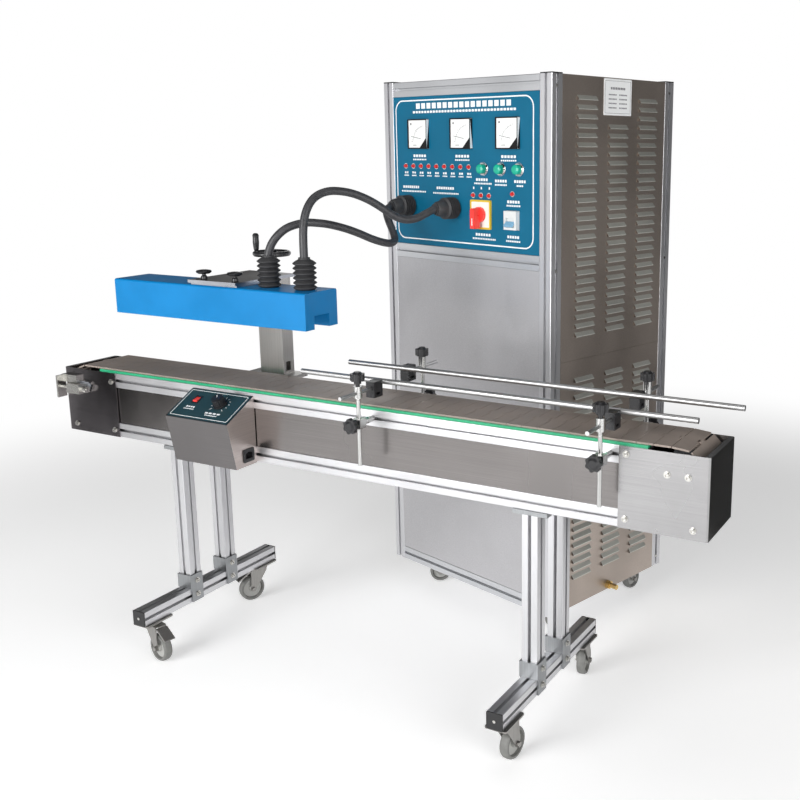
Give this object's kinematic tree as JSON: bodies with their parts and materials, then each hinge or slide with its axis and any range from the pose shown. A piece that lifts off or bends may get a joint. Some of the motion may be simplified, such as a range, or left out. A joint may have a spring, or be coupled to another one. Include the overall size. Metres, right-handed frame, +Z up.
{
  "type": "induction cap sealer",
  "caption": "Slat chain conveyor on a wheeled stand that carries capped bottles under a height-adjustable induction head, fed by hoses from a wheeled generator cabinet.",
  "frame": {"origin": "bottom centre of the bounding box of the machine without its two hoses, on the floor", "axes": "+X along the conveyor from the sealing head to its free end, +Y from the operator towards the cabinet, +Z up"},
  "size_m": [1.91, 1.2308, 1.515],
  "materials": {
    "slotted_profile": "anodised silver",
    "bracket_steel": "dull grey",
    "bolt_steel": "zinc plated",
    "black_plastic": "fine grain",
    "stainless": "brushed",
    "slat_plastic": "smooth",
    "strip_plastic": "smooth",
    "bearing_iron": "painted grey",
    "motor_paint": "satin",
    "box_steel": "brushed",
    "plate_teal": "satin",
    "rocker_red": "gloss",
    "head_blue": "satin",
    "plate_steel": "blackened",
    "coil_copper": "plain",
    "boot_rubber": "matt",
    "hose_rubber": "satin",
    "wheel_black": "moulded",
    "guide_steel": "polished",
    "fascia_blue": "satin",
    "meter_case": "gloss",
    "fitting_plastic": "gloss",
    "lens_green": "gloss",
    "toggle_blue": "gloss",
    "fitting_brass": "turned",
    "caster_zinc": "zinc plated",
    "wheel_rubber": "matt"
  },
  "bodies": {
    "base": {"conveyor_frame": "slotted_profile", "leg_brackets": "bracket_steel", "frame_bolts": "bolt_steel", "end_caps": "black_plastic", "side_panels": "stainless", "end_covers": "stainless", "slat_chain": "slat_plastic", "wear_strips": "strip_plastic", "shaft_bearings": "bearing_iron", "drive_motor": "motor_paint", "take_up": "stainless", "control_box": "box_steel", "control_plate": "plate_teal", "box_fittings": "black_plastic", "lift_column": "stainless", "hose_left": "hose_rubber", "hose_right": "hose_rubber", "guide_clamps": "guide_steel", "cabinet_frame": "slotted_profile", "cabinet_panels": "stainless", "louvre_panels": "stainless", "fascia": "fascia_blue", "panel_meters": "meter_case", "panel_fittings": "fitting_plastic", "panel_boots": "boot_rubber", "water_fitting": "fitting_brass", "caster_plates": "caster_zinc"},
    "lift": {"head_plate": "plate_steel", "plate_knobs": "black_plastic", "head_housing": "head_blue", "induction_coil": "coil_copper", "head_boots": "boot_rubber"},
    "drive_shaft": {"drive_sprocket": "bearing_iron"},
    "idler_shaft": {"idler_sprocket": "bearing_iron"},
    "rocker": {"rocker": "rocker_red"},
    "speed_knob": {"speed_knob": "black_plastic"},
    "rotary_handle": {"rotary_handle": "rocker_red"},
    "breaker_toggle": {"breaker_toggle": "toggle_blue"},
    "push_button_1": {"push_button_1": "lens_green"},
    "push_button_2": {"push_button_2": "lens_green"},
    "push_button_3": {"push_button_3": "lens_green"},
    "handwheel": {"handwheel": "wheel_black"},
    "front_posts": {"front_posts": "guide_steel"},
    "front_guide": {"front_guide": "guide_steel"},
    "rear_posts": {"rear_posts": "guide_steel"},
    "rear_guide": {"rear_guide": "guide_steel"},
    "caster_fork_1": {"caster_fork_1": "caster_zinc"},
    "caster_fork_2": {"caster_fork_2": "caster_zinc"},
    "caster_fork_3": {"caster_fork_3": "caster_zinc"},
    "caster_fork_4": {"caster_fork_4": "caster_zinc"},
    "caster_fork_5": {"caster_fork_5": "caster_zinc"},
    "caster_fork_6": {"caster_fork_6": "caster_zinc"},
    "caster_wheel_1": {"caster_wheel_1": "wheel_rubber"},
    "caster_wheel_2": {"caster_wheel_2": "wheel_rubber"},
    "caster_wheel_3": {"caster_wheel_3": "wheel_rubber"},
    "caster_wheel_4": {"caster_wheel_4": "wheel_rubber"},
    "caster_wheel_5": {"caster_wheel_5": "wheel_rubber"},
    "caster_wheel_6": {"caster_wheel_6": "wheel_rubber"},
    "caster_wheel_7": {"caster_wheel_7": "wheel_rubber"},
    "caster_wheel_8": {"caster_wheel_8": "wheel_rubber"}
  },
  "joints": [
    {"name": "drive_turn", "type": "hinge", "parent": "base", "child": "drive_shaft", "pos_m": [0.85877, -0.36144, 0.68192], "axis": [0, 1, 0], "continuous": true},
    {"name": "idler_turn", "type": "hinge", "parent": "base", "child": "idler_shaft", "pos_m": [-0.87477, -0.36144, 0.68192], "axis": [0, 1, 0], "continuous": true},
    {"name": "rocker_tilt", "type": "hinge", "parent": "base", "child": "rocker", "pos_m": [-0.412, -0.48258, 0.70256], "axis": [1, 0, 0], "range_deg": [0, 24]},
    {"name": "speed_turn", "type": "hinge", "parent": "base", "child": "speed_knob", "pos_m": [-0.328, -0.48788, 0.69975], "axis": [0, 0.4687, -0.8833], "range_deg": [0, 270]},
    {"name": "head_lift", "type": "slide", "parent": "base", "child": "lift", "axis": [0, 0, 1], "range_m": [0, 0.15], "deforming": ["hose_left", "hose_right"]},
    {"name": "handwheel_turn", "type": "hinge", "parent": "lift", "child": "handwheel", "pos_m": [-0.364, -0.23044, 1.001], "axis": [0, 0, 1], "range_deg": [0, 13502]},
    {"name": "front_height", "type": "slide", "parent": "base", "child": "front_posts", "axis": [0, 0, 1], "range_m": [-0.012, 0.08]},
    {"name": "front_reach", "type": "slide", "parent": "front_posts", "child": "front_guide", "axis": [0, 1, 0], "range_m": [-0.03, 0.03]},
    {"name": "rear_height", "type": "slide", "parent": "base", "child": "rear_posts", "axis": [0, 0, 1], "range_m": [-0.012, 0.08]},
    {"name": "rear_reach", "type": "slide", "parent": "rear_posts", "child": "rear_guide", "axis": [0, -1, 0], "range_m": [-0.03, 0.03]},
    {"name": "rotary_turn", "type": "hinge", "parent": "base", "child": "rotary_handle", "pos_m": [0.14178, 0.01723, 1.161], "axis": [-0.2756, -0.9613, 0], "range_deg": [0, 90]},
    {"name": "breaker_flip", "type": "hinge", "parent": "base", "child": "breaker_toggle", "pos_m": [0.24957, -0.02408, 1.145], "axis": [-0.9613, 0.2756, 0], "range_deg": [0, 76]},
    {"name": "button_press_1", "type": "slide", "parent": "base", "child": "push_button_1", "axis": [0.2756, 0.9613, 0], "range_m": [0, 0.004], "stiffness_N_per_m": 500, "springref_m": -0.003},
    {"name": "button_press_2", "type": "slide", "parent": "base", "child": "push_button_2", "axis": [0.2756, 0.9613, 0], "range_m": [0, 0.004], "stiffness_N_per_m": 500, "springref_m": -0.003},
    {"name": "button_press_3", "type": "slide", "parent": "base", "child": "push_button_3", "axis": [0.2756, 0.9613, 0], "range_m": [0, 0.004], "stiffness_N_per_m": 500, "springref_m": -0.003},
    {"name": "caster_swivel_1", "type": "hinge", "parent": "base", "child": "caster_fork_1", "pos_m": [-0.538, -0.56744, 0.098], "axis": [0, 0, 1], "continuous": true},
    {"name": "caster_roll_1", "type": "hinge", "parent": "caster_fork_1", "child": "caster_wheel_1", "pos_m": [-0.50866, -0.57368, 0.0375], "axis": [0.2079, 0.9781, 0], "continuous": true},
    {"name": "caster_swivel_2", "type": "hinge", "parent": "base", "child": "caster_fork_2", "pos_m": [-0.538, -0.15544, 0.098], "axis": [0, 0, 1], "continuous": true},
    {"name": "caster_roll_2", "type": "hinge", "parent": "caster_fork_2", "child": "caster_wheel_2", "pos_m": [-0.55068, -0.18263, 0.0375], "axis": [0.9063, -0.4226, 0], "continuous": true},
    {"name": "caster_swivel_3", "type": "hinge", "parent": "base", "child": "caster_fork_3", "pos_m": [0.522, -0.56744, 0.098], "axis": [0, 0, 1], "continuous": true},
    {"name": "caster_roll_3", "type": "hinge", "parent": "caster_fork_3", "child": "caster_wheel_3", "pos_m": [0.52514, -0.53761, 0.0375], "axis": [-0.9945, 0.1045, 0], "continuous": true},
    {"name": "caster_swivel_4", "type": "hinge", "parent": "base", "child": "caster_fork_4", "pos_m": [0.522, -0.15544, 0.098], "axis": [0, 0, 1], "continuous": true},
    {"name": "caster_roll_4", "type": "hinge", "parent": "caster_fork_4", "child": "caster_wheel_4", "pos_m": [0.51679, -0.1259, 0.0375], "axis": [-0.9848, -0.1736, 0], "continuous": true},
    {"name": "caster_swivel_5", "type": "hinge", "parent": "base", "child": "caster_fork_5", "pos_m": [-0.14323, 0.17698, 0.078], "axis": [0, 0, 1], "continuous": true},
    {"name": "caster_roll_5", "type": "hinge", "parent": "caster_fork_5", "child": "caster_wheel_5", "pos_m": [-0.11807, 0.19332, 0.0315], "axis": [-0.5446, 0.8387, 0], "continuous": true},
    {"name": "caster_swivel_6", "type": "hinge", "parent": "base", "child": "caster_fork_6", "pos_m": [0.32779, 0.04192, 0.078], "axis": [0, 0, 1], "continuous": true},
    {"name": "caster_roll_6", "type": "hinge", "parent": "caster_fork_6", "child": "caster_wheel_6", "pos_m": [0.34542, 0.06619, 0.0315], "axis": [-0.809, 0.5878, 0], "continuous": true},
    {"name": "caster_roll_7", "type": "hinge", "parent": "base", "child": "caster_wheel_7", "pos_m": [-0.03573, 0.55187, 0.0315], "axis": [-0.9613, 0.2756, 0], "continuous": true},
    {"name": "caster_roll_8", "type": "hinge", "parent": "base", "child": "caster_wheel_8", "pos_m": [0.43528, 0.41681, 0.0315], "axis": [-0.9613, 0.2756, 0], "continuous": true}
  ],
  "couplings": [
    {"joint": "idler_turn", "follows": "drive_turn", "ratio": 1},
    {"joint": "handwheel_turn", "follows": "head_lift", "rad_per_m": 1570.8}
  ]
}
